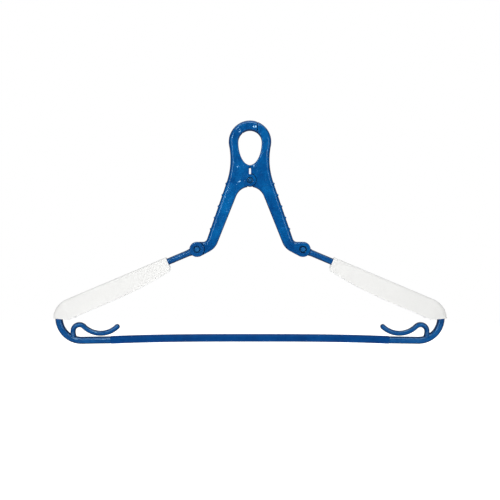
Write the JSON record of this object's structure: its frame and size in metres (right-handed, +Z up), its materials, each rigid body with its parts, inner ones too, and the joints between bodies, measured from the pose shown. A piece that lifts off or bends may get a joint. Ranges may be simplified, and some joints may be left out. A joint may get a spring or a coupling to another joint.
{
  "type": "clip drying hanger",
  "caption": "Clothes hanger with a clothes-peg ring that clips round a laundry pole, wide shoulder covers, strap hooks and a bowed bottom bar.",
  "frame": {"origin": "centre of the pole ring's bore, at the middle of its depth", "axes": "+X to the right along the bottom bar, +Y from front to back along the pole, +Z up"},
  "size_m": [0.42, 0.0326, 0.2385],
  "materials": {
    "clip_plastic": "moulded, glossy blue",
    "rod_plastic": "moulded, glossy blue",
    "bar_plastic": "satin, deeper blue",
    "cover_plastic": "satin white"
  },
  "bodies": {
    "hub": {"hub_pin": "clip_plastic"},
    "left_lever": {"left_lever": "clip_plastic"},
    "right_lever": {"right_lever": "clip_plastic", "right_leg_pin": "rod_plastic"},
    "left_arm": {"left_arm_rod": "rod_plastic", "left_leg_pin": "rod_plastic", "left_shoulder_cover": "cover_plastic", "left_corner": "rod_plastic", "bar_left_half": "bar_plastic"},
    "right_arm": {"right_arm_rod": "rod_plastic", "right_shoulder_cover": "cover_plastic", "right_corner": "rod_plastic", "bar_right_half": "bar_plastic"}
  },
  "joints": [
    {"name": "clip_squeeze", "type": "hinge", "parent": "hub", "child": "left_lever", "pos_m": [0, 0, -0.0411], "axis": [0, -1, 0], "range_deg": [0, 23]},
    {"name": "right_lever_turn", "type": "hinge", "parent": "hub", "child": "right_lever", "pos_m": [0, 0, -0.0411], "axis": [0, 1, 0], "range_deg": [0, 23.2]},
    {"name": "left_arm_turn", "type": "hinge", "parent": "left_lever", "child": "left_arm", "pos_m": [-0.0564, 0, -0.1147], "axis": [0, 1, 0], "range_deg": [0, 41.8]},
    {"name": "bar_bow", "type": "hinge", "parent": "left_arm", "child": "right_arm", "pos_m": [0, 0, -0.2092], "axis": [0, -1, 0], "range_deg": [0, 37.4], "stiffness_Nm_per_rad": 1, "springref_deg": -11.46}
  ],
  "couplings": [
    {"joint": "right_lever_turn", "follows": "clip_squeeze", "ratio": 1},
    {"joint": "left_arm_turn", "follows": "clip_squeeze", "ratio": 1.8076},
    {"joint": "bar_bow", "follows": "clip_squeeze", "ratio": 1.6152}
  ]
}
